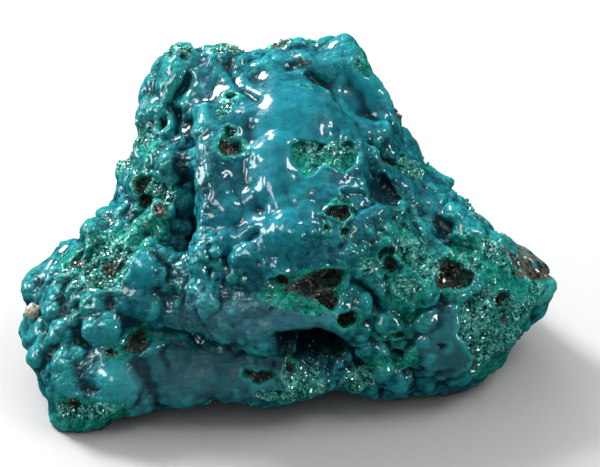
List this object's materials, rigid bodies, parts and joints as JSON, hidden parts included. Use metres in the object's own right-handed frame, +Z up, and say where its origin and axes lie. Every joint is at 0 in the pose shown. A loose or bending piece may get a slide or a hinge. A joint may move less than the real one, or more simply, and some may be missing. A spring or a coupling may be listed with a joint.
{
  "type": "chrysocolla mineral specimen",
  "caption": "Loose hand-sized mineral specimen: glossy teal-blue botryoidal chrysocolla crust with pits, green druse and dark matrix, resting on a flat broken base.",
  "frame": {"origin": "middle of the stone in plan, on the surface it rests on", "axes": "+X to the right along the longest side as seen from the show side, +Y away from the viewer, +Z up"},
  "size_m": [0.1104, 0.0704, 0.0607],
  "materials": {
    "crust": "glazed teal-blue with green druse patches and brown-black matrix in the pits"
  },
  "bodies": {
    "root": {"chrysocolla": "crust"}
  },
  "joints": []
}
